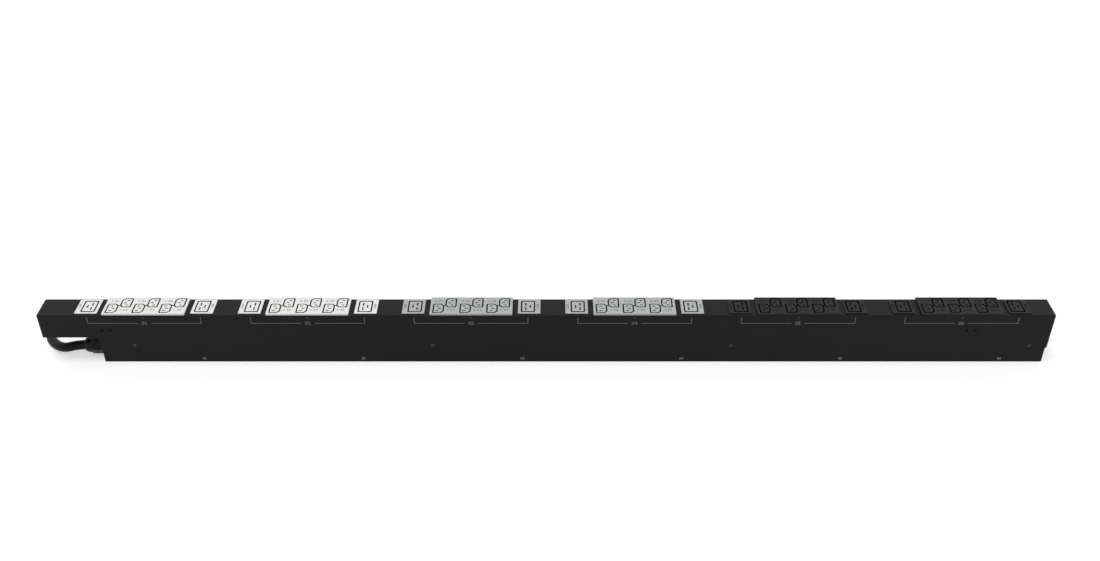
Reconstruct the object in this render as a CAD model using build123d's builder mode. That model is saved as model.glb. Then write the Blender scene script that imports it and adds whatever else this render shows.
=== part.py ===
"""Rack power distribution unit: a long steel channel with six groups of outlets.

Millimetres. The unit lies on its rear cover, outlets up: X runs along it with the
cord end at -X, Z = 0 is the rear face and Z = depth is the outlet face.
"""
from build123d import *
import os
from math import cos, pi, radians, sin, tan

os.makedirs("parts", exist_ok=True)

# Chassis
length = 1829.0
width = 50.4
depth = 106.0
sheet = 1.5
bend_outside = 1.8
cap_thickness = 2.6
cap_wall = 2.0
cap_spigot = 8.0
overhang_length = 102.0
overhang_depth = 50.0
right_cap_height = 74.0
rear_cover_height = 45.0
fit = 0.3
round_sides = 24

# Outlet groups: the first from the cord end, and as many as leave the last this room at the plain end
group_pitch = 294.2
first_group_offset = 191.1
last_group_room = 150.0
module_gap = 9.8

# Wide module with six C13 outlets
c13_module_length = 148.5
c13_bezel_height = 3.8
c13_body_margin = 1.0
c13_body_depth = 22.0
c13_moat_depth = 17.0
c13_moat = (20.4, 27.6)
c13_core = (15.7, 23.6)
c13_chamfer = 5.2
c13_core_chamfer = 4.2
c13_slot = (5.0, 2.5)
c13_pin_spacing = 14.0
c13_pin_offset = 2.0
c13_pair_pitch = 48.4
c13_pair_step = 22.1
c13_row_offset = 8.5
bezel_edge = 0.8

# Narrow module with one C19 outlet
c19_module = (40.5, 41.9)
c19_bezel_height = 1.8
c19_body_margin = 1.2
c19_body_depth = 22.0
c19_moat_depth = 17.0
c19_moat = (25.7, 33.7)
c19_core = (21.0, 28.8)
c19_corner = 2.2
c19_slot = (2.5, 8.0)
c19_pin_spacing = 13.0
c19_pin_offset = 4.0
c19_outlet_shift = 2.2

# Snap ledges that hold the modules under the sheet
snap_reach = 1.0
snap_height = 4.0

# Contacts behind the outlets
contact_sheet = 1.2
contact_width = 4.0
contact_overhang = 4.0
wide_contact = (4.0, 9.0)

# Tapped holes for the rack bracket
bracket_hole_radius = 2.1
bracket_hole_spacing = 16.0
bracket_hole_offsets = (118.5, 145.5)
bracket_hole_depth = 34.0

# Cord entry
gland_height = 21.0
gland_thread_radius = 12.5
gland_bore_radius = 9.1
gland_across_flats = 30.0
gland_collar = 12.0
gland_nut_length = 26.5
gland_nut_hexagon = 14.5
gland_nut_nose = 9.0
gland_spigot = 8.8
gland_spigot_wall = 2.4
gland_inside = 12.0
locknut_thickness = 4.5
seal_length = 9.0
cord_radius = 8.75
bundle_reach = 11.5
cord_sides = 12
core_bundle_radius = 6.6
bundle_sides = 8
way_count = 5

# Terminal block, loom and earth stud
terminal_length = 52.0
terminal_width = 36.0
terminal_height = 30.0
terminal_gap = 27.5
terminal_rib = (44.0, 1.0, 3.0)
loom_radius = 6.0
loom_y = 14.0
loom_end_gap = 46.5
stud_gap = 27.0
stud_y = -10.0
stud_radius = 3.0
stud_height = 20.0
stud_nut_across_flats = 10.0
stud_nut_height = 5.0

# Breakers, one for each group, behind the rear cover
breaker_offset = 95.0
breaker_y = -10.0
breaker_size = (34.0, 19.0, 31.0)
breaker_window = (25.4, 10.8)
breaker_cavity = (25.4, 14.6, 13.0)
breaker_ridge = 4.0
rocker_length = 23.0
rocker_width = 10.0
rocker_pivot_height = 7.5
rocker_reach = 4.8
rocker_dish = 0.7
rocker_end_slope = (1.5, 3.0)
rocker_back = (6.0, 2.5)
rocker_notch = 1.9
rocker_ear = (4.2, 3.6)
rocker_ear_width = 14.0
rocker_half_travel = 11.0

# Plug at the end of the cord
plug_radius = 28.0
plug_length = 62.0
plug_neck_radius = 13.0
plug_neck_length = 22.0
plug_shoulder = 18.0
plug_neck_step = 2.0
plug_face_radius = 21.5
plug_face_length = 14.0
plug_blade = (7.0, 1.7)
plug_blade_length = 18.0
plug_blade_circle = 13.5

left_x = -length / 2
right_x = length / 2
channel_left_x = left_x + cap_thickness
channel_right_x = right_x - cap_thickness
step_x = left_x + overhang_length
overhang_z = depth - overhang_depth
inner_width = width - 2 * sheet
first_group_x = left_x + first_group_offset
group_count = int((right_x - last_group_room - first_group_x) / group_pitch) + 1
group_centres = [first_group_x + i * group_pitch for i in range(group_count)]
c19_centre_offset = c13_module_length / 2 + module_gap + c19_module[0] / 2
bracket_hole_centres = (left_x + bracket_hole_offsets[0], right_x - bracket_hole_offsets[1])
bracket_hole_places = [
    centre + side * bracket_hole_spacing / 2 for centre in bracket_hole_centres for side in (-1, 1)
]
breaker_places = [centre + breaker_offset for centre in group_centres]
near_side = Plane((0, -width / 2, 0), x_dir=(1, 0, 0), z_dir=(0, -1, 0))


def across(x, y=0.0, z=0.0):
    """The plane square to the unit's length at x, with its own X along Y and its Y up."""
    return Plane((x, y, z), x_dir=(0, 1, 0), z_dir=(1, 0, 0))


def disc(radius, mode=Mode.ADD):
    """A round outline in flats, which keeps the small round parts light."""
    return RegularPolygon(radius, round_sides, mode=mode)


def finish(part, name):
    """Labels a finished piece and writes it."""
    part.label = name
    export_step(part, f"parts/{name}.step")


# Outlines of the outlets, each with its earth pin toward +X
with BuildSketch() as c13_moat_outline:
    Rectangle(*c13_moat)
    chamfer(c13_moat_outline.vertices().group_by(Axis.X)[-1], c13_chamfer)

with BuildSketch() as c13_core_outline:
    Rectangle(*c13_core)
    chamfer(c13_core_outline.vertices().group_by(Axis.X)[-1], c13_core_chamfer)

with BuildSketch() as c13_slots:
    with Locations((-c13_pin_offset, -c13_pin_spacing / 2), (-c13_pin_offset, c13_pin_spacing / 2)):
        Rectangle(*c13_slot)
    with Locations((c13_pin_offset, 0)):
        Rectangle(*c13_slot)

with BuildSketch() as c19_moat_outline:
    Rectangle(*c19_moat)
    chamfer(c19_moat_outline.vertices(), c19_corner)

with BuildSketch() as c19_core_outline:
    Rectangle(*c19_core)

with BuildSketch() as c19_slots:
    with Locations((-c19_pin_offset, -c19_pin_spacing / 2), (-c19_pin_offset, c19_pin_spacing / 2)):
        Rectangle(*c19_slot)
    with Locations((c19_pin_offset, 0)):
        Rectangle(*c19_slot)

# The six places on a wide module: three pairs, the second of each turned half round
c13_places = []
for pair in (-1, 0, 1):
    c13_places.append((pair * c13_pair_pitch - c13_pair_step / 2, -c13_row_offset, 0))
    c13_places.append((pair * c13_pair_pitch + c13_pair_step / 2, c13_row_offset, 180))


# Front channel: outlet face and both long sides folded from one sheet
with BuildPart() as front_channel:
    with BuildSketch(across(channel_left_x)):
        with Locations((0, depth / 2)):
            section = Rectangle(width, depth)
        fillet(section.vertices().group_by(Axis.Y)[-1], bend_outside)
    extrude(amount=channel_right_x - channel_left_x)
    with BuildSketch(across(channel_left_x)):
        with Locations((0, (depth - sheet) / 2)):
            Rectangle(inner_width, depth - sheet)
    extrude(amount=channel_right_x - channel_left_x, mode=Mode.SUBTRACT)
    with BuildSketch(Plane.XY):
        with Locations(((channel_left_x + step_x) / 2, 0)):
            Rectangle(step_x - channel_left_x, width)
    extrude(amount=overhang_z, mode=Mode.SUBTRACT)
    with BuildSketch(Plane.XY.offset(depth - sheet)):
        for centre in group_centres:
            with Locations((centre, 0)):
                Rectangle(c13_module_length - 2 * (c13_body_margin - fit), inner_width)
            with Locations((centre - c19_centre_offset, 0), (centre + c19_centre_offset, 0)):
                Rectangle(
                    c19_module[0] - 2 * (c19_body_margin - fit),
                    c19_module[1] - 2 * (c19_body_margin - fit),
                )
    extrude(amount=sheet, mode=Mode.SUBTRACT)
    with BuildSketch(near_side):
        with Locations(*[(x, depth - bracket_hole_depth) for x in bracket_hole_places]):
            Circle(bracket_hole_radius)
    extrude(amount=-sheet, mode=Mode.SUBTRACT)
finish(front_channel.part, "front_channel")


# Rear cover: a tray nested between the sides, windowed for the breaker rockers
cover_width = inner_width - 2 * fit / 3
cover_left_x = step_x + sheet
cover_middle_x = (cover_left_x + channel_right_x) / 2
cover_length = channel_right_x - cover_left_x
with BuildPart() as rear_cover:
    with BuildSketch(Plane.XY):
        with Locations((cover_middle_x, 0)):
            Rectangle(cover_length, cover_width)
    extrude(amount=rear_cover_height)
    with BuildSketch(Plane.XY.offset(sheet)):
        with Locations((cover_middle_x, 0)):
            Rectangle(cover_length - 2 * sheet, cover_width - 2 * sheet)
    extrude(amount=rear_cover_height, mode=Mode.SUBTRACT)
    with BuildSketch(Plane.XY):
        with Locations(*[(x, breaker_y) for x in breaker_places]):
            Rectangle(*breaker_window)
    extrude(amount=sheet, mode=Mode.SUBTRACT)
    with BuildSketch(across(cover_left_x)):
        with Locations((0, gland_height)):
            disc(gland_thread_radius + fit / 2)
    extrude(amount=sheet, mode=Mode.SUBTRACT)
finish(rear_cover.part, "rear_cover")


# Step cover: closes the underside of the overhang and turns down as the gland wall
with BuildPart() as step_cover:
    with BuildSketch(Plane.XY.offset(overhang_z)):
        with Locations(((channel_left_x + step_x + sheet) / 2, 0)):
            Rectangle(step_x + sheet - channel_left_x, cover_width)
    extrude(amount=sheet)
    with BuildSketch(Plane.XY):
        with Locations((step_x + sheet / 2, 0)):
            Rectangle(sheet, cover_width)
    extrude(amount=overhang_z)
    with BuildSketch(across(step_x)):
        with Locations((0, gland_height)):
            disc(gland_thread_radius + fit / 2)
    extrude(amount=sheet, mode=Mode.SUBTRACT)
finish(step_cover.part, "step_cover")


def end_cap(outer_x, inward, bottom, spigot_bottom):
    """A moulded cap: a plate over the channel's end and a hollow spigot that pushes into it."""
    spigot_width = inner_width - 2 * fit / 3
    spigot_top = depth - sheet - fit / 3
    spigot_height = spigot_top - spigot_bottom
    spigot_middle = (spigot_top + spigot_bottom) / 2
    with BuildPart() as cap:
        with BuildSketch(across(outer_x)):
            with Locations((0, (depth + bottom) / 2)):
                plate = Rectangle(width, depth - bottom)
            fillet(plate.vertices().group_by(Axis.Y)[-1], bend_outside)
        extrude(amount=inward * cap_thickness)
        with BuildSketch(across(outer_x + inward * cap_thickness)):
            with Locations((0, spigot_middle)):
                Rectangle(spigot_width, spigot_height)
                Rectangle(spigot_width - 2 * cap_wall, spigot_height - 2 * cap_wall, mode=Mode.SUBTRACT)
        extrude(amount=inward * cap_spigot)
    return cap.part


finish(end_cap(left_x, 1, overhang_z, overhang_z + sheet + fit / 3), "left_end_cap")
finish(end_cap(right_x, -1, depth - right_cap_height, rear_cover_height + fit), "right_end_cap")


def module_blank(centre, bezel, bezel_height, body, body_depth):
    """A module before its outlets: a bezel over the sheet and a body with a snap ledge at each end."""
    half = body[0] / 2
    with BuildPart() as blank:
        with BuildSketch(Plane((centre, 0, depth))):
            Rectangle(*bezel)
        extrude(amount=bezel_height)
        chamfer(blank.faces().sort_by(Axis.Z)[-1].edges(), bezel_edge)
        with BuildSketch(Plane((centre, body[1] / 2, depth), x_dir=(1, 0, 0), z_dir=(0, -1, 0))):
            with BuildLine():
                Polyline(
                    (-half, 0),
                    (-half, -sheet),
                    (-half - snap_reach, -sheet),
                    (-half, -sheet - snap_height),
                    (-half, -body_depth),
                    (half, -body_depth),
                    (half, -sheet - snap_height),
                    (half + snap_reach, -sheet),
                    (half, -sheet),
                    (half, 0),
                    close=True,
                )
            make_face()
        extrude(amount=body[1])
    return blank.part


def c13_module(centre):
    """One moulded wide module: six moats round their cores, and eighteen pin slots."""
    body = (c13_module_length - 2 * c13_body_margin, inner_width - 2 * fit)
    with BuildPart() as module:
        add(module_blank(centre, (c13_module_length, width), c13_bezel_height, body, c13_body_depth))
        with BuildSketch(Plane((centre, 0, depth + c13_bezel_height))):
            for x, y, turn in c13_places:
                with Locations(Location((x, y, 0), turn)):
                    add(c13_moat_outline.sketch)
                    add(c13_core_outline.sketch, mode=Mode.SUBTRACT)
        extrude(amount=-c13_moat_depth, mode=Mode.SUBTRACT)
        with BuildSketch(Plane((centre, 0, depth + c13_bezel_height))):
            for x, y, turn in c13_places:
                with Locations(Location((x, y, 0), turn)):
                    add(c13_slots.sketch)
        extrude(amount=-c13_bezel_height - c13_body_depth, mode=Mode.SUBTRACT)
    return module.part


def c19_module_at(centre, earth_side):
    """One moulded narrow module. Its earth pin is on the side away from the group's middle."""
    body = (c19_module[0] - 2 * c19_body_margin, c19_module[1] - 2 * c19_body_margin)
    place = Location((-earth_side * c19_outlet_shift, 0, 0), 0 if earth_side > 0 else 180)
    with BuildPart() as module:
        add(module_blank(centre, c19_module, c19_bezel_height, body, c19_body_depth))
        with BuildSketch(Plane((centre, 0, depth + c19_bezel_height))):
            with Locations(place):
                add(c19_moat_outline.sketch)
                add(c19_core_outline.sketch, mode=Mode.SUBTRACT)
        extrude(amount=-c19_moat_depth, mode=Mode.SUBTRACT)
        with BuildSketch(Plane((centre, 0, depth + c19_bezel_height))):
            with Locations(place):
                add(c19_slots.sketch)
        extrude(amount=-c19_bezel_height - c19_body_depth, mode=Mode.SUBTRACT)
    return module.part


for number, centre in enumerate(group_centres, start=1):
    finish(c13_module(centre), f"c13_module_{number}")
    finish(c19_module_at(centre - c19_centre_offset, -1), f"c19_module_{2 * number - 1}")
    finish(c19_module_at(centre + c19_centre_offset, 1), f"c19_module_{2 * number}")


# Contact strips across the backs of the C13 outlets' slots
strip_top = depth - c13_body_depth


def contact_places(across_pins, along_pins):
    """Places of one pin, given in an outlet with its earth toward +X, in a module's six outlets."""
    return [
        (x + (along_pins if turn == 0 else -along_pins), y + (across_pins if turn == 0 else -across_pins))
        for x, y, turn in c13_places
    ]


def contact_strips(rows, strip_width):
    """One strip on every module for each row, as separate solids: a row is a list of pin places."""
    with BuildPart() as strips:
        for centre in group_centres:
            for row in rows:
                first = min(x for x, y in row) - contact_overhang
                last = max(x for x, y in row) + contact_overhang
                middle_y = (min(y for x, y in row) + max(y for x, y in row)) / 2
                with BuildSketch(Plane((centre, 0, strip_top))):
                    with Locations(((first + last) / 2, middle_y)):
                        Rectangle(last - first, strip_width)
                extrude(amount=-contact_sheet)
    return strips.part


line_row = contact_places(-c13_pin_spacing / 2, -c13_pin_offset)
neutral_row = contact_places(c13_pin_spacing / 2, -c13_pin_offset)
earth_row = contact_places(0, c13_pin_offset)
neutral_width = contact_width + 2 * abs(neutral_row[0][1])
finish(contact_strips([line_row[0::2], line_row[1::2]], contact_width), "line_strips")
finish(contact_strips([neutral_row], neutral_width), "neutral_strips")
finish(contact_strips([earth_row[0::2], earth_row[1::2]], contact_width), "earth_strips")

# Contacts behind the C19 outlets: three separate ones each
with BuildPart() as c19_contacts:
    for centre in group_centres:
        for earth_side in (-1, 1):
            outlet_x = centre + earth_side * (c19_centre_offset - c19_outlet_shift)
            with BuildSketch(Plane((outlet_x, 0, depth - c19_body_depth))):
                with Locations(
                    (-earth_side * c19_pin_offset, -c19_pin_spacing / 2),
                    (-earth_side * c19_pin_offset, c19_pin_spacing / 2),
                    (earth_side * c19_pin_offset, 0),
                ):
                    Rectangle(*wide_contact)
            extrude(amount=-contact_sheet)
finish(c19_contacts.part, "c19_contacts")


# Gland body: hexagonal collar outside, thread through both walls
gland_flat_radius = gland_across_flats / 2
with BuildPart() as gland_body:
    with BuildSketch(across(step_x, 0, gland_height)):
        RegularPolygon(gland_flat_radius, 6, major_radius=False)
    extrude(amount=-gland_collar)
    with BuildSketch(across(step_x, 0, gland_height)):
        disc(gland_thread_radius)
    extrude(amount=gland_inside)
    with BuildSketch(across(step_x - gland_collar, 0, gland_height)):
        disc(gland_bore_radius + gland_spigot_wall)
    extrude(amount=-gland_spigot)
    with BuildSketch(across(step_x + gland_inside, 0, gland_height)):
        disc(gland_bore_radius)
    extrude(amount=-gland_inside - gland_collar - gland_nut_length, mode=Mode.SUBTRACT)
finish(gland_body.part, "gland_body")

# Dome nut: hexagonal behind, tapered to its nose, bored for the spigot, the seal and the cord
nut_back_x = step_x - gland_collar - fit / 3
nut_mouth_radius = gland_bore_radius + gland_spigot_wall / 2
seat_x = step_x - gland_collar - gland_spigot - fit / 3
seal_radius = gland_bore_radius + gland_spigot_wall
with BuildPart() as gland_nut:
    with BuildSketch(across(nut_back_x, 0, gland_height)):
        RegularPolygon(gland_flat_radius, 6, major_radius=False)
    extrude(amount=-gland_nut_hexagon)
    with BuildSketch(across(nut_back_x - gland_nut_hexagon, 0, gland_height)):
        disc(gland_flat_radius)
    extrude(amount=gland_nut_hexagon - gland_nut_length)
    nose = gland_nut.faces().sort_by(Axis.X)[0]
    chamfer(nose.edges(), gland_flat_radius - nut_mouth_radius, gland_nut_nose, reference=nose)
    with BuildSketch(across(nut_back_x, 0, gland_height)):
        disc(seal_radius + fit / 3)
    extrude(amount=seat_x - nut_back_x - seal_length, mode=Mode.SUBTRACT)
    with BuildSketch(across(nut_back_x, 0, gland_height)):
        disc(gland_bore_radius)
    extrude(amount=-gland_nut_length, mode=Mode.SUBTRACT)
finish(gland_nut.part, "gland_nut")

# Rubber seal that the dome nut squeezes onto the cord
with BuildPart() as gland_seal:
    with BuildSketch(across(seat_x, 0, gland_height)):
        disc(seal_radius)
        disc(cord_radius + fit / 6, Mode.SUBTRACT)
    extrude(amount=-seal_length)
finish(gland_seal.part, "gland_seal")

# Locknut inside the gland wall
with BuildPart() as gland_locknut:
    with BuildSketch(across(cover_left_x + sheet, 0, gland_height)):
        RegularPolygon(gland_flat_radius, 6, major_radius=False)
        disc(gland_thread_radius + fit / 6, Mode.SUBTRACT)
    extrude(amount=locknut_thickness)
finish(gland_locknut.part, "gland_locknut")


# Terminal block, the bundle of cores into it, the loom out of it and the earth stud
terminal_x = step_x + terminal_gap
terminal_middle_x = terminal_x + terminal_length / 2
terminal_end_x = terminal_x + terminal_length
bundle_x = step_x - bundle_reach
stud_x = terminal_end_x + stud_gap
with BuildPart() as terminal_block:
    with BuildSketch(Plane.XY.offset(sheet)):
        with Locations((terminal_middle_x, 0)):
            Rectangle(terminal_length, terminal_width)
    extrude(amount=terminal_height - sheet)
    with BuildSketch(Plane.XY.offset(terminal_height)):
        with Locations((terminal_middle_x, 0)):
            with GridLocations(terminal_length, terminal_width / way_count, 1, way_count - 1):
                Rectangle(terminal_rib[0], terminal_rib[1])
    extrude(amount=terminal_rib[2])
finish(terminal_block.part, "terminal_block")

with BuildPart() as input_conductors:
    with BuildSketch(across(bundle_x, 0, gland_height)):
        RegularPolygon(core_bundle_radius, bundle_sides)
    extrude(amount=terminal_x - bundle_x)
finish(input_conductors.part, "input_conductors")

with BuildPart() as wiring_loom:
    with BuildSketch(across(terminal_end_x, loom_y, sheet + loom_radius)):
        RegularPolygon(loom_radius, bundle_sides, major_radius=False, rotation=180 / bundle_sides)
    extrude(amount=right_x - loom_end_gap - terminal_end_x)
finish(wiring_loom.part, "wiring_loom")

with BuildPart() as earth_stud:
    with BuildSketch(Plane((stud_x, stud_y, sheet))):
        RegularPolygon(stud_radius, 6)
    extrude(amount=stud_height)
    with BuildSketch(Plane((stud_x, stud_y, sheet))):
        RegularPolygon(stud_nut_across_flats / 2, 6, major_radius=False)
    extrude(amount=stud_nut_height)
finish(earth_stud.part, "earth_stud")


def breaker(x):
    """A breaker's housing: solid behind, with a cavity at the cover's window and a ridge for the rocker."""
    floor_z = sheet + breaker_cavity[2]
    with BuildPart() as housing:
        with BuildSketch(Plane((x, breaker_y, sheet))):
            Rectangle(breaker_size[0], breaker_size[1])
        extrude(amount=breaker_size[2])
        with BuildSketch(Plane((x, breaker_y, sheet))):
            Rectangle(breaker_cavity[0], breaker_cavity[1])
        extrude(amount=breaker_cavity[2], mode=Mode.SUBTRACT)
        with BuildSketch(Plane((x, breaker_y, 0), x_dir=(1, 0, 0), z_dir=(0, -1, 0))):
            with BuildLine():
                Polyline(
                    (-breaker_ridge / 2, floor_z),
                    (0, rocker_pivot_height),
                    (breaker_ridge / 2, floor_z),
                    close=True,
                )
            make_face()
        extrude(amount=breaker_cavity[1] / 2, both=True)
    return housing.part


def rocker(x):
    """A see-saw rocker that rests on the ridge in its notch, stored pressed in at its -X end."""
    half = rocker_length / 2
    tilt = radians(rocker_half_travel)
    back_x, back_z = rocker_back
    ear_x, ear_z = rocker_ear
    pressed = Plane(
        (x, breaker_y, rocker_pivot_height),
        x_dir=(cos(tilt), 0, -sin(tilt)),
        z_dir=(0, -1, 0),
    )
    with BuildPart() as lever:
        with BuildSketch(pressed):
            with BuildLine():
                Polyline(
                    (-half, -rocker_reach),
                    (0, -rocker_reach + rocker_dish),
                    (half, -rocker_reach),
                    (half - rocker_end_slope[0], -rocker_reach + rocker_end_slope[1]),
                    (back_x, back_z),
                    (rocker_notch, back_z),
                    (0, 0),
                    (-rocker_notch, back_z),
                    (-back_x, back_z),
                    (-half + rocker_end_slope[0], -rocker_reach + rocker_end_slope[1]),
                    close=True,
                )
            make_face()
        extrude(amount=rocker_width / 2, both=True)
        with BuildSketch(pressed):
            with BuildLine():
                Polyline(
                    (-ear_x, -ear_z),
                    (ear_x, -ear_z),
                    (ear_x, back_z),
                    (rocker_notch, back_z),
                    (0, 0),
                    (-rocker_notch, back_z),
                    (-ear_x, back_z),
                    close=True,
                )
            make_face()
        extrude(amount=rocker_ear_width / 2, both=True)
    return lever.part


for number, x in enumerate(breaker_places, start=1):
    finish(breaker(x), f"breaker_{number}")
    finish(rocker(x), f"rocker_{number}")


# Input cord, as it lies: out of the gland, down to the surface, round behind the unit and along it
cord_route = [
    (-824, 0, 21),
    (-862, 0, 21),
    (-898, -4, 13),
    (-936, 34, 8.8),
    (-937, 88, 8.8),
    (-899, 127, 8.8),
    (-815, 131, 8.8),
    (-440, 106, 8.8),
    (120, 88, 8.8),
    (500, 62, 8.8),
    (612, 56, 28.1),
    (700, 56, 28.1),
]


def cord_radii(route):
    """A bend radius for each inner point of a route, as large as its two runs allow."""
    radii = []
    for before, here, after in zip(route, route[1:], route[2:]):
        arriving = Vector(*here) - Vector(*before)
        leaving = Vector(*after) - Vector(*here)
        turn = radians(arriving.get_angle(leaving))
        radii.append(0.45 * min(arriving.length, leaving.length) / tan(turn / 2))
    return radii


bend_radii = cord_radii(cord_route)
with BuildPart() as input_cord:
    with BuildLine() as cord_path:
        FilletPolyline(*cord_route, radius=bend_radii)
    with BuildSketch(across(*cord_route[0])):
        RegularPolygon(cord_radius, cord_sides)
    sweep()
finish(input_cord.part, "input_cord")
cord_length = cord_path.wire().length
cord_section = cord_sides / 2 * cord_radius ** 2 * sin(2 * pi / cord_sides)
print("cord length", round(cord_length, 1), "bend radii", [round(r) for r in bend_radii])
print("cord volume", round(input_cord.part.volume), "section times length",
      round(cord_section * cord_length))


# Plug: neck, shoulder and grip in one, a face of its own, five blades
plug_x, plug_y, plug_z = cord_route[-1]
shoulder_x = plug_x + plug_neck_length
grip_end_x = shoulder_x + plug_length
with BuildPart() as plug_body:
    with BuildSketch(across(shoulder_x, plug_y, plug_z)):
        disc(plug_radius)
    extrude(amount=plug_length)
    shoulder = plug_body.faces().sort_by(Axis.X)[0]
    shoulder_rise = plug_radius - plug_neck_radius - plug_neck_step
    chamfer(shoulder.edges(), shoulder_rise, plug_shoulder, reference=shoulder)
    with BuildSketch(across(plug_x, plug_y, plug_z)):
        disc(plug_neck_radius)
    extrude(amount=plug_neck_length)
finish(plug_body.part, "plug_body")

with BuildPart() as plug_face:
    with BuildSketch(across(grip_end_x, plug_y, plug_z)):
        disc(plug_face_radius)
    extrude(amount=plug_face_length)
finish(plug_face.part, "plug_face")

with BuildPart() as plug_blades:
    with BuildSketch(across(grip_end_x + plug_face_length, plug_y, plug_z)):
        with PolarLocations(plug_blade_circle, way_count - 1, start_angle=45):
            Rectangle(*reversed(plug_blade))
        Rectangle(*plug_blade)
    extrude(amount=plug_blade_length)
finish(plug_blades.part, "plug_blades")
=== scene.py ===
"""Looks of the rack power distribution unit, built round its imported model. Metres."""

from math import cos, pi, radians, sin

import bmesh
import bpy
from mathutils import Matrix, Vector


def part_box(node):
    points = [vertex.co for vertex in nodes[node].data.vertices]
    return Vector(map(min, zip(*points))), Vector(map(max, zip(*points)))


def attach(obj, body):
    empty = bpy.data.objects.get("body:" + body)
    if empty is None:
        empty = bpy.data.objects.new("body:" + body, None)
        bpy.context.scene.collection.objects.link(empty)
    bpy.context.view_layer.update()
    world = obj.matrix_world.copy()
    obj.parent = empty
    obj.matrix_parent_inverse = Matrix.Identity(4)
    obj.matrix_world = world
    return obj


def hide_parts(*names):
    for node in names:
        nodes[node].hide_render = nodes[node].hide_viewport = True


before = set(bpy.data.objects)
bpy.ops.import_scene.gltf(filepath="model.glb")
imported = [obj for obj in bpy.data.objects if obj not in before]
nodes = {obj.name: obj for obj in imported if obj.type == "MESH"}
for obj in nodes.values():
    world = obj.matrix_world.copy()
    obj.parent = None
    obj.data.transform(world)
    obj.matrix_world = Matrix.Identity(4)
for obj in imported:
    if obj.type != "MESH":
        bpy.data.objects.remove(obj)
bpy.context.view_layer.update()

mm = 0.001

# The unit, as in the CAD model
depth = 106.0 * mm
width = 50.4 * mm
group_count = 6
group_pitch = 294.2 * mm
first_group_x = -723.4 * mm
group_centres = [first_group_x + i * group_pitch for i in range(group_count)]
group_colours = ("white", "white", "grey", "grey", "black", "black")

# Wide module
wide_size = (148.5 * mm, 50.4 * mm)
wide_body = (146.5 * mm, 46.8 * mm)
wide_rise = 3.8 * mm
wide_moat = (20.4 * mm, 27.6 * mm)
wide_core = (15.7 * mm, 23.6 * mm)
wide_moat_chamfer = 5.2 * mm
wide_core_chamfer = 4.2 * mm
wide_slot = (5.0 * mm, 2.5 * mm)
wide_pins = ((-2.0 * mm, -7.0 * mm), (-2.0 * mm, 7.0 * mm), (2.0 * mm, 0.0))
pair_pitch = 48.4 * mm
pair_step = 22.1 * mm
row_offset = 8.5 * mm

# Narrow module
narrow_size = (40.5 * mm, 41.9 * mm)
narrow_body = (38.1 * mm, 39.5 * mm)
narrow_rise = 1.8 * mm
narrow_moat = (25.7 * mm, 33.7 * mm)
narrow_core = (21.0 * mm, 28.8 * mm)
narrow_slot = (2.5 * mm, 8.0 * mm)
narrow_pins = ((-4.0 * mm, -6.5 * mm), (-4.0 * mm, 6.5 * mm), (4.0 * mm, 0.0))
narrow_shift = 2.2 * mm
narrow_offset = wide_size[0] / 2 + 9.8 * mm + narrow_size[0] / 2

# Both modules
body_depth = 22.0 * mm
moat_depth = 17.0 * mm
bezel_edge = 0.5 * mm
core_edge = 0.35 * mm
corner = 1.2 * mm
moat_corner = 2.6 * mm
core_corner = 1.8 * mm
passage = 0.95 * mm
passage_corner = 0.7 * mm

# Prints: their height, how much bolder than the font (as a share of its size), and flat shading
print_rise = 0.04 * mm
stroke_growth = 0.03
print_sharp = 1.0

# How many sides round shapes have
small_segments = 32
round_segments = 64


# The camera, worked out from the unit's corners in the photograph
camera_lens = 38.81
camera_place = (0.00684, -1.7272, 1.3814)
camera_dip = 35.156
camera_data = bpy.data.cameras.new("camera")
camera_data.sensor_width = 36.0
camera_data.lens = camera_lens
camera_data.clip_end = 50.0
camera = bpy.data.objects.new("camera", camera_data)
camera.location = camera_place
camera.rotation_euler = (radians(90.0 - camera_dip), 0.0, 0.0)
bpy.context.scene.collection.objects.link(camera)
bpy.context.scene.camera = camera
bpy.context.scene.view_settings.view_transform = "Standard"


# Materials
# Noise for colour and gloss is slow, noise for the surface's grain is fine
slow_scale = 14.0
slow_detail = 5.0
fine_detail = 3.0
gloss_spread = 0.15


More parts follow.
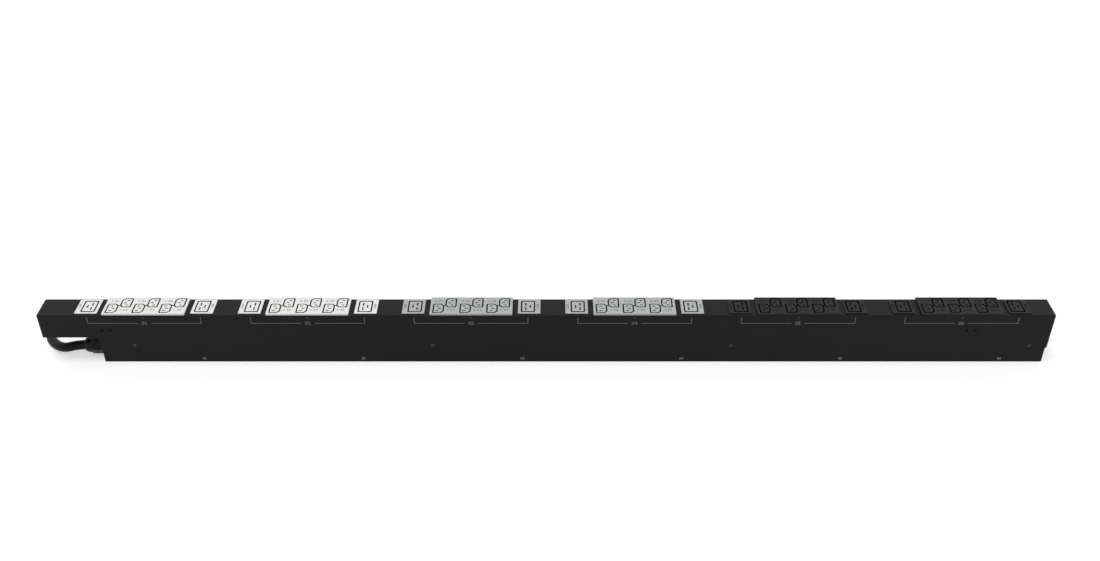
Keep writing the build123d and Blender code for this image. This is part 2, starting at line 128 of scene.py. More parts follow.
def surface(name, colour, roughness, metallic=0.0, grain=0.0, grain_size=0.4 * mm, mottle=0.06, specular=0.5):
    """A finish with a fine grain in its surface and a slow variation in its colour and gloss."""
    material = bpy.data.materials.new(name)
    material.use_nodes = True
    tree = material.node_tree
    shader = tree.nodes["Principled BSDF"]
    shader.inputs["Metallic"].default_value = metallic
    shader.inputs["Specular IOR Level"].default_value = specular
    place = tree.nodes.new("ShaderNodeTexCoord")

    slow = tree.nodes.new("ShaderNodeTexNoise")
    slow.inputs["Scale"].default_value = slow_scale
    slow.inputs["Detail"].default_value = slow_detail
    tree.links.new(place.outputs["Object"], slow.inputs["Vector"])
    mix = tree.nodes.new("ShaderNodeMix")
    mix.data_type = "RGBA"
    mix.inputs["A"].default_value = [c * (1 - mottle) for c in colour] + [1]
    mix.inputs["B"].default_value = [min(c * (1 + mottle), 1) for c in colour] + [1]
    tree.links.new(slow.outputs["Fac"], mix.inputs["Factor"])
    tree.links.new(mix.outputs["Result"], shader.inputs["Base Color"])

    spread = tree.nodes.new("ShaderNodeMapRange")
    spread.inputs["To Min"].default_value = roughness * (1 - gloss_spread)
    spread.inputs["To Max"].default_value = min(roughness * (1 + gloss_spread), 1.0)
    tree.links.new(slow.outputs["Fac"], spread.inputs["Value"])
    tree.links.new(spread.outputs["Result"], shader.inputs["Roughness"])
    if grain:
        fine = tree.nodes.new("ShaderNodeTexNoise")
        fine.inputs["Scale"].default_value = 1 / grain_size
        fine.inputs["Detail"].default_value = fine_detail
        tree.links.new(place.outputs["Object"], fine.inputs["Vector"])
        bump = tree.nodes.new("ShaderNodeBump")
        bump.inputs["Strength"].default_value = grain
        bump.inputs["Distance"].default_value = grain_size / 4
        tree.links.new(fine.outputs["Fac"], bump.inputs["Height"])
        tree.links.new(bump.outputs["Normal"], shader.inputs["Normal"])
    return material


coat_grain = 0.7 * mm
moulded_grain = 0.3 * mm
nylon_grain = 0.25 * mm
rubber_grain = 0.5 * mm
jacket_grain = 0.6 * mm

powder_coat = surface("powder_coat", (0.0062, 0.0063, 0.0067), 0.48,
                      grain=0.8, grain_size=coat_grain, specular=0.14)
cap_plastic = surface("cap_plastic", (0.0125, 0.0125, 0.013), 0.45,
                      grain=0.3, grain_size=moulded_grain, specular=0.2)
module_plastics = {
    "white": surface("white_plastic", (0.84, 0.84, 0.83), 0.33,
                     grain=0.12, grain_size=moulded_grain, mottle=0.01),
    "grey": surface("grey_plastic", (0.44, 0.455, 0.45), 0.35,
                    grain=0.12, grain_size=moulded_grain, mottle=0.02),
    "black": surface("black_plastic", (0.0095, 0.0095, 0.0098), 0.36,
                     grain=0.15, grain_size=moulded_grain, specular=0.18),
}
# Painted shade: dark copies of the module plastics for the moats' walls and floors, standing in for the shade
# down in the deep, narrow moats
moat_shade_plastics = {
    "white": surface("white_moat_shade", (0.075, 0.075, 0.074), 0.6, specular=0.2),
    "grey": surface("grey_moat_shade", (0.05, 0.051, 0.05), 0.6, specular=0.2),
    "black": surface("black_moat_shade", (0.003, 0.003, 0.003), 0.6, specular=0.1),
}
# Painted shade: darker copies of the module plastics for the walls inside the pin slots
slot_shade_plastics = {
    "white": surface("white_slot_shade", (0.24, 0.24, 0.24), 0.6, specular=0.2),
    "grey": surface("grey_slot_shade", (0.12, 0.12, 0.12), 0.6, specular=0.2),
    "black": surface("black_slot_shade", (0.004, 0.004, 0.004), 0.6, specular=0.1),
}
brass = surface("brass", (0.72, 0.52, 0.24), 0.3, metallic=1.0, grain=0.1, mottle=0.12)
zinc = surface("zinc", (0.55, 0.56, 0.57), 0.35, metallic=1.0, grain=0.1, mottle=0.08)
black_oxide = surface("black_oxide", (0.04, 0.04, 0.042), 0.4, metallic=0.7, grain=0.2, mottle=0.15)
phosphate = surface("phosphate", (0.012, 0.012, 0.013), 0.6, metallic=0.3, specular=0.2)
nylon = surface("nylon", (0.0055, 0.0055, 0.0058), 0.42,
                grain=0.25, grain_size=nylon_grain, specular=0.16)
rubber = surface("rubber", (0.016, 0.016, 0.017), 0.62,
                 grain=0.35, grain_size=rubber_grain, mottle=0.12)
jacket = surface("jacket", (0.005, 0.005, 0.0053), 0.5,
                 grain=0.3, grain_size=jacket_grain, mottle=0.12, specular=0.14)
terminal_grey = surface("terminal_grey", (0.26, 0.26, 0.26), 0.45, grain=0.2)
rocker_plastic = surface("rocker_plastic", (0.012, 0.012, 0.013), 0.25, grain=0.05)
ivory = surface("ivory", (0.68, 0.66, 0.6), 0.4, grain=0.15, mottle=0.03)
side_print = surface("side_print", (0.11, 0.11, 0.113), 0.5, mottle=0.04)
breaker_print = surface("breaker_print", (0.19, 0.19, 0.193), 0.5, mottle=0.04)
prints = {
    "white": surface("dark_print", (0.07, 0.07, 0.072), 0.5, mottle=0.04),
    "grey": surface("grey_print", (0.06, 0.06, 0.062), 0.5, mottle=0.04),
    "black": surface("black_print", (0.002, 0.002, 0.002), 0.6, mottle=0.04, specular=0.02),
}

finishes = {
    "front_channel": powder_coat,
    "rear_cover": powder_coat,
    "step_cover": powder_coat,
    "left_end_cap": cap_plastic,
    "right_end_cap": cap_plastic,
    "line_strips": brass,
    "neutral_strips": brass,
    "earth_strips": brass,
    "c19_contacts": brass,
    "gland_body": nylon,
    "gland_nut": nylon,
    "gland_locknut": nylon,
    "gland_seal": rubber,
    "terminal_block": terminal_grey,
    "input_conductors": jacket,
    "wiring_loom": jacket,
    "earth_stud": zinc,
    "input_cord": jacket,
    "plug_body": nylon,
    "plug_face": ivory,
    "plug_blades": brass,
}
for i in range(group_count):
    finishes[f"c13_module_{i + 1}"] = module_plastics[group_colours[i]]
    finishes[f"c19_module_{2 * i + 1}"] = module_plastics[group_colours[i]]
    finishes[f"c19_module_{2 * i + 2}"] = module_plastics[group_colours[i]]
    finishes[f"breaker_{i + 1}"] = nylon
    finishes[f"rocker_{i + 1}"] = rocker_plastic
for name, node in nodes.items():
    node.data.materials.clear()
    node.data.materials.append(finishes[name])


# Shaping
def piece(name, mesh, *materials, body="unit", slot=None, place=(0, 0, 0)):
    """Puts a mesh in the scene as a piece of its own, riding on a body."""
    for material in materials:
        mesh.materials.append(material)
    made = bpy.data.objects.new(name, mesh)
    made.location = place
    bpy.context.scene.collection.objects.link(made)
    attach(made, body)
    return made


def shaded(shape, name, sharp=35.0):
    """A mesh from a bmesh, smooth but for the edges that turn more than this many degrees."""
    bmesh.ops.recalc_face_normals(shape, faces=shape.faces)
    for face in shape.faces:
        face.smooth = True
    for edge in shape.edges:
        if len(edge.link_faces) == 2:
            edge.smooth = edge.calc_face_angle() < radians(sharp)
    mesh = bpy.data.meshes.new(name)
    shape.to_mesh(mesh)
    shape.free()
    return mesh


def rounded(points, radii, steps=4):
    """An outline with every corner turned into an arc: one radius for all, or one for each corner."""
    outline = []
    if isinstance(radii, float):
        radii = [radii] * len(points)
    for before, here, after, radius in zip(points[-1:] + points[:-1], points, points[1:] + points[:1], radii):
        here = Vector(here)
        arriving = (Vector(before) - here).normalized()
        leaving = (Vector(after) - here).normalized()
        half = arriving.angle(leaving) / 2
        centre = here + (arriving + leaving).normalized() * (radius / sin(half))
        start = here + arriving * (radius * cos(half) / sin(half)) - centre
        end = here + leaving * (radius * cos(half) / sin(half)) - centre
        for step in range(steps + 1):
            outline.append(centre + start.lerp(end, step / steps).normalized() * radius)
    return outline


def rectangle(size, middle=(0.0, 0.0)):
    """The corners of a rectangle round a point."""
    x, y = size[0] / 2, size[1] / 2
    return [(middle[0] + a * x, middle[1] + b * y) for a, b in ((-1, -1), (1, -1), (1, 1), (-1, 1))]


def chamfered(size, cut):
    """A rectangle with both corners on its +X side cut off."""
    x, y = size[0] / 2, size[1] / 2
    return [(-x, -y), (x - cut, -y), (x, -y + cut), (x, y - cut), (x - cut, y), (-x, y)]


def placed(points, x, y, turn):
    """An outline moved to (x, y), and turned half round if turn is -1."""
    return [(x + turn * p[0], y + turn * p[1]) for p in points]


def add_curve(shape, curve, matrix):
    """Adds a curve's mesh, moved by a matrix, to a bmesh, and removes the curve."""
    holder = bpy.data.objects.new(curve.name, curve)
    bpy.context.scene.collection.objects.link(holder)
    mesh = bpy.data.meshes.new_from_object(holder.evaluated_get(bpy.context.evaluated_depsgraph_get()))
    mesh.transform(matrix)
    shape.from_mesh(mesh)
    bpy.data.objects.remove(holder)
    bpy.data.curves.remove(curve)
    bpy.data.meshes.remove(mesh)


def add_part(shape, part, matrix):
    """Adds a second bmesh, moved by a matrix, to a bmesh, and frees it."""
    bmesh.ops.transform(part, verts=part.verts, matrix=matrix)
    mesh = bpy.data.meshes.new("part")
    part.to_mesh(mesh)
    part.free()
    shape.from_mesh(mesh)
    bpy.data.meshes.remove(mesh)


def plate(shape, outlines, low, high, edge=0.0):
    """Adds to a bmesh a flat plate between two heights, cut by nested outlines, its edges rounded."""
    curve = bpy.data.curves.new("outline", "CURVE")
    curve.dimensions = "2D"
    curve.fill_mode = "BOTH"
    curve.extrude = (high - low) / 2 - edge
    curve.bevel_depth = edge
    curve.bevel_resolution = 2
    curve.offset = -edge
    for points in outlines:
        spline = curve.splines.new("POLY")
        spline.points.add(len(points) - 1)
        for point, (x, y) in zip(spline.points, points):
            point.co = (x, y, 0, 1)
        spline.use_cyclic_u = True
    add_curve(shape, curve, Matrix.Translation((0, 0, (low + high) / 2)))


def lathe(shape, profile, origin, axis="X", segments=round_segments):
    """Adds to a bmesh a turned solid: profile is a list of (distance along the axis, radius)."""
    across = {"X": (Vector((0, 1, 0)), Vector((0, 0, 1))), "Y": (Vector((0, 0, 1)), Vector((1, 0, 0)))}[axis]
    along = {"X": Vector((1, 0, 0)), "Y": Vector((0, 1, 0))}[axis]
    rings = []
    for distance, radius in profile:
        middle = Vector(origin) + along * distance
        if radius == 0:
            rings.append([shape.verts.new(middle)])
            continue
        ring = []
        for i in range(segments):
            turn = 2 * pi * i / segments
            ring.append(shape.verts.new(middle + (across[0] * cos(turn) + across[1] * sin(turn)) * radius))
        rings.append(ring)
    for one, two in zip(rings, rings[1:]):
        for i in range(segments):
            j = (i + 1) % segments
            corners = [one[i % len(one)], one[j % len(one)], two[j % len(two)], two[i % len(two)]]
            corners = list(dict.fromkeys(corners))
            if len(corners) > 2:
                shape.faces.new(corners)


def block(shape, low, high, edge=0.0):
    """Adds to a bmesh a box between two corners, its edges rounded."""
    made = bmesh.ops.create_cube(shape, size=1.0)["verts"]
    for vertex in made:
        vertex.co = [low[k] + (vertex.co[k] + 0.5) * (high[k] - low[k]) for k in range(3)]
    if edge:
        edges = list(dict.fromkeys(e for v in made for e in v.link_edges))
        bmesh.ops.bevel(shape, geom=edges, offset=edge, segments=2, affect="EDGES", profile=0.5)


def lettering(shape, text, size, matrix, spacing=1.0):
    """Adds to a bmesh a printed number, thin on its surface, its strokes a little bolder than the font's."""
    curve = bpy.data.curves.new("number", "FONT")
    curve.body = text
    curve.size = size
    curve.space_character = spacing
    curve.align_x = "CENTER"
    curve.align_y = "CENTER"
    curve.extrude = print_rise / 2
    curve.bevel_depth = size * stroke_growth
    curve.bevel_resolution = 0
    curve.resolution_u = 3
    flattening = print_rise / (print_rise + 2 * curve.bevel_depth)
    add_curve(shape, curve, matrix @ Matrix.Diagonal((1, 1, flattening, 1)))


# Wide modules
wide_places = []
for pair in (-1, 0, 1):
    wide_places.append((pair * pair_pitch - pair_step / 2, -row_offset, 1))
    wide_places.append((pair * pair_pitch + pair_step / 2, row_offset, -1))


def joined_moats(size, cut, middle_x):
    """One outline for a pair's two moats and the short passage between them."""
    low = placed(chamfered(size, cut), -pair_step / 2, -row_offset, 1)
    joint = Vector(low[3])
    side_point = tuple(joint + Vector((0.0, -passage)))
    chamfer_point = tuple(joint + Vector((-passage, passage)))
    half = [chamfer_point, low[4], low[5], low[0], low[1], low[2], side_point]
    whole = half + [(-x, -y) for x, y in half]
    radii = [passage_corner] + [moat_corner] * 5 + [passage_corner]
    return [(middle_x + x, y) for x, y in rounded(whole, radii + radii)]


def module_mesh(name, size, body, rise, places, moats, core, slot, pins, slot_shade_index):
    """A module: bezel, walls round the moats, cores with their slots, and the base behind; the walls and
    floors down in the moats and slots carry painted shade.
    """
    top = depth + rise
    floor = top - moat_depth
    shape = bmesh.new()
    plate(shape, [rounded(rectangle(size), corner)] + moats, depth, top, bezel_edge)
    plate(shape, [rectangle(body)] + moats, floor, depth)
    for x, y, turn in places:
        slots = [placed(rectangle(slot, pin), x, y, turn) for pin in pins]
        plate(shape, [placed(rounded(core, core_corner), x, y, turn)] + slots, floor, top, core_edge)
    slots = [placed(rectangle(slot, pin), *p) for p in places for pin in pins]
    plate(shape, [rectangle(body)] + slots, depth - body_depth, floor)
    # Painted shade: faces on the walls and floors down in the moats take a darker copy of the plastic, and
    # faces in the slots take the slot material, also painted shade
    skin = 0.3 * mm
    slot_reach = (slot[0] / 2 + 0.1 * mm, slot[1] / 2 + 0.1 * mm)
    for face in shape.faces:
        middle = face.calc_center_median()
        inside = abs(middle.x) < body[0] / 2 - skin and abs(middle.y) < body[1] / 2 - skin
        upright_wall = abs(face.normal.z) < 0.4
        moat_floor = middle.z < depth and face.normal.z > 0.5
        in_slot = any(
            abs(middle.x - x - turn * px) < slot_reach[0] and abs(middle.y - y - turn * py) < slot_reach[1]
            for x, y, turn in places for px, py in pins
        )
        if inside and (upright_wall or moat_floor):
            face.material_index = slot_shade_index if in_slot else 1
    return shaded(shape, name)


wide_mesh = module_mesh(
    "wide_module", wide_size, wide_body, wide_rise, wide_places,
    [joined_moats(wide_moat, wide_moat_chamfer, pair * pair_pitch) for pair in (-1, 0, 1)],
    chamfered(wide_core, wide_core_chamfer), wide_slot, wide_pins, 2,
)
for i, centre in enumerate(group_centres):
    colour = group_colours[i]
    face = piece(f"wide_face_{i + 1}", wide_mesh.copy(), module_plastics[colour], moat_shade_plastics[colour],
                 slot_shade_plastics[colour], slot=f"module_{colour}", place=(centre, 0, 0))
    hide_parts(f"c13_module_{i + 1}")


# Narrow modules, each with its earth pin on the outer side
for side in (-1, 1):
    narrow_places = [(-side * narrow_shift, 0.0, side)]
    narrow_mesh = module_mesh(
        "narrow_module", narrow_size, narrow_body, narrow_rise, narrow_places,
        [placed(rounded(rectangle(narrow_moat), moat_corner), *narrow_places[0])],
        rectangle(narrow_core), narrow_slot, narrow_pins, 1,
    )
    for i, centre in enumerate(group_centres):
        colour = group_colours[i]
        number = 2 * i + (1 if side < 0 else 2)
        face = piece(f"narrow_face_{number}", narrow_mesh.copy(), module_plastics[colour],
                     moat_shade_plastics[colour], slot=f"module_{colour}",
                     place=(centre + side * narrow_offset, 0, 0))
        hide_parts(f"c19_module_{number}")


# Contact jaws inside the slots: two sprung leaves for each pin
leaf = 0.35 * mm
leaf_spread = 0.75 * mm
wide_leaf_half = 2.0 * mm
narrow_leaf_half = 3.2 * mm
jaw_top = 9.0 * mm
jaws = bmesh.new()
for centre in group_centres:
    for x, y, turn in wide_places:
        for px, py in wide_pins:
            for leaf_side in (-1, 1):
                jx, jy = centre + x + turn * px, y + turn * py + leaf_side * leaf_spread
                block(jaws, (jx - wide_leaf_half, jy - leaf / 2, depth - body_depth),
                      (jx + wide_leaf_half, jy + leaf / 2, depth + wide_rise - jaw_top))
    for side in (-1, 1):
        for px, py in narrow_pins:
            for leaf_side in (-1, 1):
                jx = centre + side * (narrow_offset - narrow_shift + px) + leaf_side * leaf_spread
                block(jaws, (jx - leaf / 2, side * py - narrow_leaf_half, depth - body_depth),
                      (jx + leaf / 2, side * py + narrow_leaf_half, depth + narrow_rise - jaw_top))
piece("contact_jaws", shaded(jaws, "contact_jaws"), brass, slot="contact_brass")


# Printing on the modules: a number for each outlet
outlet_number_size = 6.0 * mm
outlet_number_y = 13.5 * mm
wide_spacing = 1.35
narrow_spacing = 1.2
narrow_number_inset = 4.8 * mm
for i, centre in enumerate(group_centres):
    shape = bmesh.new()
    wide_top = depth + wide_rise + print_rise / 2
    for k, (x, y, turn) in enumerate(wide_places):
        place = Matrix.Translation((centre + x, turn * outlet_number_y, wide_top))
        lettering(shape, f"{i + 1}-0{k + 1}", outlet_number_size, place, wide_spacing)
    for side in (-1, 1):
        label_x = centre + side * (narrow_offset + narrow_size[0] / 2 - narrow_number_inset)
        turned = Matrix.Rotation(radians(90), 4, "Z")
        place = Matrix.Translation((label_x, 0, depth + narrow_rise + print_rise / 2))
        number = "07" if side < 0 else "08"
        lettering(shape, f"{i + 1}-{number}", outlet_number_size, place @ turned, narrow_spacing)
    numbers = shaded(shape, "module_numbers", sharp=print_sharp)
    piece(f"module_numbers_{i + 1}", numbers, prints[group_colours[i]])


# Printing on the side: a bracket over each group, its number, and the breakers' numbers
side_y = -width / 2
bracket_z = depth - 17.8 * mm
bracket_reach = 103.0 * mm
bracket_gap = 12.0 * mm
bracket_line = 1.5 * mm
tick_top = depth - 4.8 * mm
bracket_number_size = 10.5 * mm
breaker_offset = 95.0 * mm
breaker_label_pitch = 292.3 * mm
breaker_label_z = 7.0 * mm
breaker_number_size = 8.0 * mm
upright = Matrix.Rotation(radians(90), 4, "X")
shape, labels = bmesh.new(), bmesh.new()
for i, centre in enumerate(group_centres):
    for side in (-1, 1):
        ends = sorted((centre + side * bracket_gap, centre + side * bracket_reach))
        block(shape, (ends[0], side_y - print_rise, bracket_z - bracket_line / 2),
              (ends[1], side_y, bracket_z + bracket_line / 2))
        tick = sorted((centre + side * bracket_reach, centre + side * (bracket_reach - bracket_line)))
        block(shape, (tick[0], side_y - print_rise, bracket_z + bracket_line / 2),
              (tick[1], side_y, tick_top))
    place = Matrix.Translation((centre, side_y - print_rise / 2, bracket_z))
    lettering(shape, f"0{i + 1}", bracket_number_size, place @ upright)
    label_x = group_centres[0] + breaker_offset + i * breaker_label_pitch
    place = Matrix.Translation((label_x, side_y - print_rise / 2, breaker_label_z))
    lettering(labels, f"0{i + 1}", breaker_number_size, place @ upright)
piece("side_marks", shaded(shape, "side_marks", sharp=print_sharp), side_print)
piece("breaker_numbers", shaded(labels, "breaker_numbers", sharp=print_sharp), breaker_print)


# Screws on the long sides: a domed head with a cross recess, in shares of its height and radius
head_rim = 0.35
head_crown = 0.45
recess_radius = 0.3
recess_mouth = 1.3
recess_foot = 0.55
recess_floor = 0.3
cross_rise = 1.005
cross_length = 0.62
cross_width = 0.12
cross_depth = 0.1 * mm


def screw_head(shape, x, z, side, radius, height):
    """Adds a pan head, standing on the side, with a hollow in its middle."""
    profile = [(0.0, radius), (height * head_rim, radius)]
    for step in range(1, 6):
        turn = radians(90) * step / 6
        along = height * (head_rim + (1 - head_rim) * sin(turn))
        profile.append((along, radius * (head_crown + (1 - head_crown) * cos(turn))))
    profile = [(side * d, r) for d, r in profile]
    recess = radius * recess_radius
    bottom = side * height * recess_floor
    profile += [(side * height, recess * recess_mouth), (bottom, recess * recess_foot), (bottom, 0)]
    lathe(shape, profile, (x, side * width / 2, z), "Y", small_segments)


def cross(shape, x, z, side, radius, height):
    """Adds the two crossed grooves of a recess as thin dark bars on the head: painted shade in place of cut
    grooves.
    """
    face_y = side * (width / 2 + height * cross_rise)
    back_y = face_y - side * cross_depth
    long, short = radius * cross_length, radius * cross_width
    for across_x, across_z in ((long, short), (short, long)):
        low = (x - across_x, min(face_y, back_y), z - across_z)
        high = (x + across_x, max(face_y, back_y), z + across_z)
        block(shape, low, high)


first_cover_screw = -751.0 * mm
cover_screw_pitch = 544.0 * mm
cover_screw_z = 38.0 * mm
cover_screw = (3.8 * mm, 1.6 * mm)
group_screw_z = depth - 5.5 * mm
group_screw = (2.4 * mm, 0.8 * mm)
screws = [(first_cover_screw + i * cover_screw_pitch, cover_screw_z, side, *cover_screw)
          for side in (-1, 1) for i in range(4)]
screws += [(x, group_screw_z, -1, *group_screw) for x in group_centres]
heads, cross_shades = bmesh.new(), bmesh.new()
for screw in screws:
    screw_head(heads, *screw)
    cross(cross_shades, *screw)
piece("side_screws", shaded(heads, "side_screws"), black_oxide, slot="chassis_steel")
# Painted shade: dark bars laid on the heads stand in for the shade in the cross grooves
piece("side_screw_cross_shade", shaded(cross_shades, "side_screw_cross_shade"), rubber)


# Threads in the bracket holes
thread_pitch = 0.7 * mm
thread_start = 0.35 * mm
thread_crest = 1.65 * mm
thread_root = 2.0 * mm
thread_turns = 6
thread_mouth = 0.2 * mm
mouth_radii = (2.9 * mm, 2.05 * mm)
collar_ends = (4.8 * mm, 1.6 * mm)
collar_radius = 3.6 * mm
pair_middles = (-796.0 * mm, 769.0 * mm)
hole_half_spacing = 8.0 * mm
hole_y = -width / 2 + 1.4 * mm
hole_z = depth - 34.0 * mm
threads = bmesh.new()
for middle in pair_middles:
    for side in (-1, 1):
        profile = [(thread_mouth, radius) for radius in mouth_radii]
        for turn in range(thread_turns):
            profile.append((thread_start + (turn + 0.5) * thread_pitch, thread_crest))
            profile.append((thread_start + (turn + 1) * thread_pitch, thread_root))
        profile += [(end, collar_radius) for end in collar_ends]
        place = (middle + side * hole_half_spacing, hole_y, hole_z)
        lathe(threads, profile, place, "Y", small_segments)
piece("bracket_threads", shaded(threads, "bracket_threads"), phosphate, slot="chassis_steel")


# Gland nut: hexagon behind, domed nose in front
gland_z = 21.0 * mm
nut_low, nut_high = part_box("gland_nut")
nut_back, nut_front = nut_high.x, nut_low.x
flat = 15.0 * mm
bore = 9.1 * mm
hexagon_length = 14.5 * mm
hexagon_corner = 1.2 * mm
hexagon_edge = 0.8 * mm
grip_radius = flat * 0.985
grip_start = 8.0 * mm
grip_middle = 14.0 * mm
grip_end = 15.5 * mm
mouth = bore + 1.2 * mm
bore_taper = 3.0 * mm
bore_flare = 0.2 * mm
shape = bmesh.new()
point_radius = flat / cos(radians(30))
hexagon = []
for i in range(6):
    turn = radians(30 + 60 * i)
    hexagon.append((point_radius * cos(turn), point_radius * sin(turn)))
hex_shape = bmesh.new()
plate(hex_shape, [rounded(hexagon, hexagon_corner)], 0.0, hexagon_length, hexagon_edge)
nut_place = (nut_back, 0, gland_z)
add_part(shape, hex_shape, Matrix.Translation(nut_place) @ Matrix.Rotation(radians(-90), 4, "Y"))
nose = [(-grip_start, grip_radius), (-grip_middle, grip_radius), (-grip_end, grip_radius)]
nut_length = nut_back - nut_front
nose_length = nut_length - grip_end
for step in range(1, 9):
    turn = radians(90) * step / 8
    nose.append((-grip_end - nose_length * sin(turn), mouth + (grip_radius - mouth) * cos(turn)))
nose += [(-nut_length, bore + bore_flare), (-nut_length + bore_taper, bore), (-grip_start, bore)]
lathe(shape, nose, nut_place)
nut = piece("dome_nut", shaded(shape, "dome_nut"), nylon, slot="gland_plastic")
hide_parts("gland_nut")


# The cord, with the same route as the CAD model's
cord_diameter = 17.5 * mm
cord_route = [
    (-824, 0, 21),
    (-862, 0, 21),
    (-898, -4, 13),
    (-936, 34, 8.8),
    (-937, 88, 8.8),
    (-899, 127, 8.8),
    (-815, 131, 8.8),
    (-440, 106, 8.8),
    (120, 88, 8.8),
    (500, 62, 8.8),
    (612, 56, 28.1),
    (700, 56, 28.1),
]
cord_curve = bpy.data.curves.new("lead", "CURVE")
cord_curve.dimensions = "3D"
cord_curve.bevel_depth = cord_diameter / 2
cord_curve.bevel_resolution = 8
cord_curve.resolution_u = 16
cord_curve.use_fill_caps = True
line = cord_curve.splines.new("NURBS")
line.points.add(len(cord_route) - 1)
for point, place in zip(line.points, cord_route):
    point.co = [c * mm for c in place] + [1]
line.order_u = 3
line.use_endpoint_u = True
cord_curve.materials.append(jacket)
lead = bpy.data.objects.new("lead", cord_curve)
bpy.context.scene.collection.objects.link(lead)
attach(lead, "unit")
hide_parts("input_cord")


# Plug: a grooved neck and a ribbed grip, round the CAD model's own face and blades
plug_place = tuple(c * mm for c in cord_route[-1])
rib_count = 12
rib_low = (46.0 * mm, -1.1 * mm, 27.0 * mm)
rib_high = (78.0 * mm, 1.1 * mm, 28.05 * mm)
rib_edge = 0.4 * mm

# Its profile, in millimetres along the plug and from its axis
neck_end = [(0.0, 0.0), (0.0, 11.0), (1.5, 13.0)]
groove = [(0.0, 13.1), (0.5, 11.9), (1.5, 11.9), (2.0, 13.2)]
groove_start = 4.0
groove_pitch = 3.4
groove_count = 5
shoulder_start = 22.0
shoulder_length = 18.0
shoulder_radius = 15.0
shoulder_rise = 13.0
front_rim = [(80.5, 28.0), (82.0, 27.6), (83.4, 26.6), (84.0, 25.0), (84.0, 0.0)]
grip = [(x * mm, radius * mm) for x, radius in neck_end]
for i in range(groove_count):
    start = (groove_start + groove_pitch * i) * mm
    grip += [(start + x * mm, radius * mm) for x, radius in groove]
for step in range(9):
    turn = radians(90) * step / 8
    x = shoulder_start + shoulder_length * sin(turn)
    radius = shoulder_radius + shoulder_rise * (1 - cos(turn))
    grip.append((x * mm, radius * mm))
grip += [(x * mm, radius * mm) for x, radius in front_rim]
shape = bmesh.new()
lathe(shape, grip, plug_place)
for i in range(rib_count):
    turn = 2 * pi * i / rib_count
    rib = bmesh.new()
    block(rib, rib_low, rib_high, rib_edge)
    add_part(shape, rib, Matrix.Translation(plug_place) @ Matrix.Rotation(turn, 4, "X"))
plug_grip = piece("plug_grip", shaded(shape, "plug_grip"), nylon, slot="plug_plastic")
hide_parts("plug_body")


# Rockers: a dished key with an on mark and an off mark
half_travel = radians(11.0)
pivot_y = -10.0 * mm
pivot_z = 7.5 * mm
key_half_width = 4.9 * mm
key_edge = 0.25 * mm
axle_low = (-4.1 * mm, -6.9 * mm, -3.5 * mm)
axle_high = (4.1 * mm, 6.9 * mm, 1.5 * mm)
axle_edge = 0.3 * mm
mark_low, mark_high = -4.5 * mm, -4.25 * mm
on_mark_x = (6.85 * mm, 7.35 * mm)
on_mark_half = 1.8 * mm
off_mark_x = -7.1 * mm
off_mark_radii = (1.7 * mm, 1.25 * mm)

# The key's profile, in millimetres from its pivot: a dished face, and a back with a notch for the ridge
face_half_length = 11.2
face_steps = 12
face_drop = 4.1
dish_depth = 0.7
dish_reach = 11.5
key_back = [(10.0, -1.8), (6.0, 2.5), (1.9, 2.5)]
key_notch = (0.0, 0.2)
profile = []
for step in range(face_steps + 1):
    along = -face_half_length + 2 * face_half_length * step / face_steps
    profile.append((along * mm, (-face_drop - dish_depth * (along / dish_reach) ** 2) * mm))
mirrored_back = [(-x, z) for x, z in key_back[::-1]]
profile += [(x * mm, z * mm) for x, z in key_back + [key_notch] + mirrored_back]

turns = [2 * pi * k / small_segments for k in range(small_segments)]
off_mark = [[(off_mark_x + r * cos(t), r * sin(t)) for t in turns] for r in off_mark_radii]
for i, centre in enumerate(group_centres):
    key = bmesh.new()
    for face_side in (-1, 1):
        ring = [key.verts.new((a, face_side * key_half_width, b)) for a, b in profile]
        key.faces.new(ring if face_side > 0 else ring[::-1])
    key.verts.ensure_lookup_table()
    count = len(profile)
    for k in range(count):
        j = (k + 1) % count
        key.faces.new([key.verts[k], key.verts[j], key.verts[count + j], key.verts[count + k]])
    bmesh.ops.recalc_face_normals(key, faces=key.faces)
    rim = [e for e in key.edges if abs(e.verts[0].co.y - e.verts[1].co.y) < 1e-7]
    bmesh.ops.bevel(key, geom=rim, offset=key_edge, segments=2, affect="EDGES", profile=0.5)
    block(key, axle_low, axle_high, axle_edge)
    pivot = Matrix.Translation((centre + breaker_offset, pivot_y, pivot_z))
    pressed = pivot @ Matrix.Rotation(half_travel, 4, "Y")
    bmesh.ops.transform(key, verts=key.verts, matrix=pressed)
    rocker_key = piece(f"rocker_key_{i + 1}", shaded(key, "rocker_key"), rocker_plastic,
                       body=f"rocker_{i + 1}_body", slot="rocker_plastic")
    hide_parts(f"rocker_{i + 1}")

    marks = bmesh.new()
    block(marks, (on_mark_x[0], -on_mark_half, mark_low), (on_mark_x[1], on_mark_half, mark_high))
    plate(marks, off_mark, mark_low, mark_high)
    bmesh.ops.transform(marks, verts=marks.verts, matrix=pressed)
    piece(f"rocker_marks_{i + 1}", shaded(marks, "rocker_marks"), ivory, body=f"rocker_{i + 1}_body")


# Floor, light and backdrop
floor_grey = 0.68
floor_glow = 0.48
floor_size = 15.0
floor_gap = 0.2 * mm
sky_front = 0.27
sky_back = 0.8
sun_strength = 1.35
sun_angle = radians(35)
sun_tilt = (radians(10), radians(-14), 0)


def camera_sees(tree, *others):
    """A socket that is 1 for rays from the camera and for these other kinds of ray, and 0 for the rest."""
    path = tree.nodes.new("ShaderNodeLightPath")
    seen = path.outputs["Is Camera Ray"]
    for other in others:
        either = tree.nodes.new("ShaderNodeMath")
        either.operation = "MAXIMUM"
        tree.links.new(seen, either.inputs[0])
        tree.links.new(path.outputs[other], either.inputs[1])
        seen = either.outputs[0]
    return seen


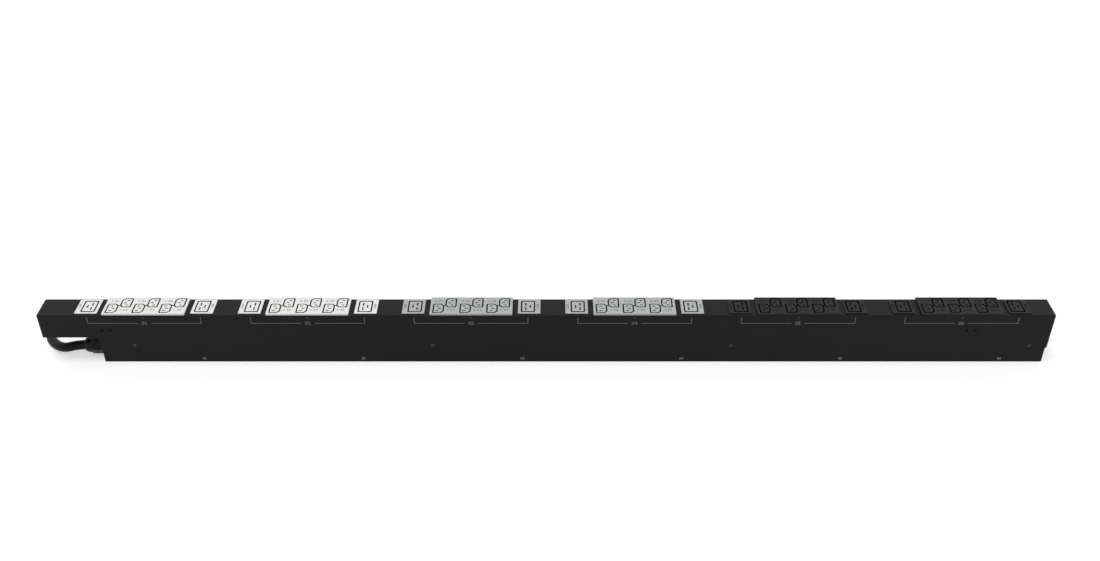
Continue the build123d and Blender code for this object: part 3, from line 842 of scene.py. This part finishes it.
def studio_floor():
    """A pale floor that is white to the camera where it is lit, and keeps the unit's shadow."""
    material = bpy.data.materials.new("studio_floor")
    material.use_nodes = True
    tree = material.node_tree
    tree.nodes.clear()
    output = tree.nodes.new("ShaderNodeOutputMaterial")
    diffuse = tree.nodes.new("ShaderNodeBsdfDiffuse")
    diffuse.inputs["Color"].default_value = (floor_grey, floor_grey, floor_grey, 1)
    glow = tree.nodes.new("ShaderNodeEmission")
    glow.inputs["Color"].default_value = (1, 1, 1, 1)
    level = tree.nodes.new("ShaderNodeMath")
    level.operation = "MULTIPLY"
    level.inputs[1].default_value = floor_glow
    tree.links.new(camera_sees(tree, "Is Glossy Ray", "Is Transmission Ray"), level.inputs[0])
    tree.links.new(level.outputs[0], glow.inputs["Strength"])
    both = tree.nodes.new("ShaderNodeAddShader")
    tree.links.new(diffuse.outputs[0], both.inputs[0])
    tree.links.new(glow.outputs[0], both.inputs[1])
    tree.links.new(both.outputs[0], output.inputs["Surface"])
    return material


floor_shape = bmesh.new()
bmesh.ops.create_grid(floor_shape, x_segments=1, y_segments=1, size=floor_size)
floor_mesh = bpy.data.meshes.new("floor")
floor_shape.to_mesh(floor_mesh)
floor_shape.free()
floor_mesh.materials.append(studio_floor())
floor = bpy.data.objects.new("floor", floor_mesh)
floor.location = (0, 0, -floor_gap)
bpy.context.scene.collection.objects.link(floor)

# The sky is white to the camera, and lights the unit less from the front than from behind
world = bpy.data.worlds.new("studio")
world.use_nodes = True
bpy.context.scene.world = world
tree = world.node_tree
background = tree.nodes["Background"]
background.inputs["Color"].default_value = (1, 1, 1, 1)
toward = tree.nodes.new("ShaderNodeTexCoord")
parts = tree.nodes.new("ShaderNodeSeparateXYZ")
tree.links.new(toward.outputs["Generated"], parts.inputs[0])
sky = tree.nodes.new("ShaderNodeMapRange")
sky.inputs["From Min"].default_value = -1.0
sky.inputs["To Min"].default_value = sky_front
sky.inputs["To Max"].default_value = sky_back
tree.links.new(parts.outputs["Y"], sky.inputs["Value"])
strength = tree.nodes.new("ShaderNodeMapRange")
strength.inputs["To Max"].default_value = 1.0
tree.links.new(camera_sees(tree, "Is Transmission Ray", "Is Glossy Ray"), strength.inputs["Value"])
tree.links.new(sky.outputs["Result"], strength.inputs["To Min"])
tree.links.new(strength.outputs["Result"], background.inputs["Strength"])

lamp_data = bpy.data.lights.new("overhead", "SUN")
lamp_data.energy = sun_strength
lamp_data.angle = sun_angle
lamp = bpy.data.objects.new("overhead", lamp_data)
lamp.rotation_euler = sun_tilt
bpy.context.scene.collection.objects.link(lamp)
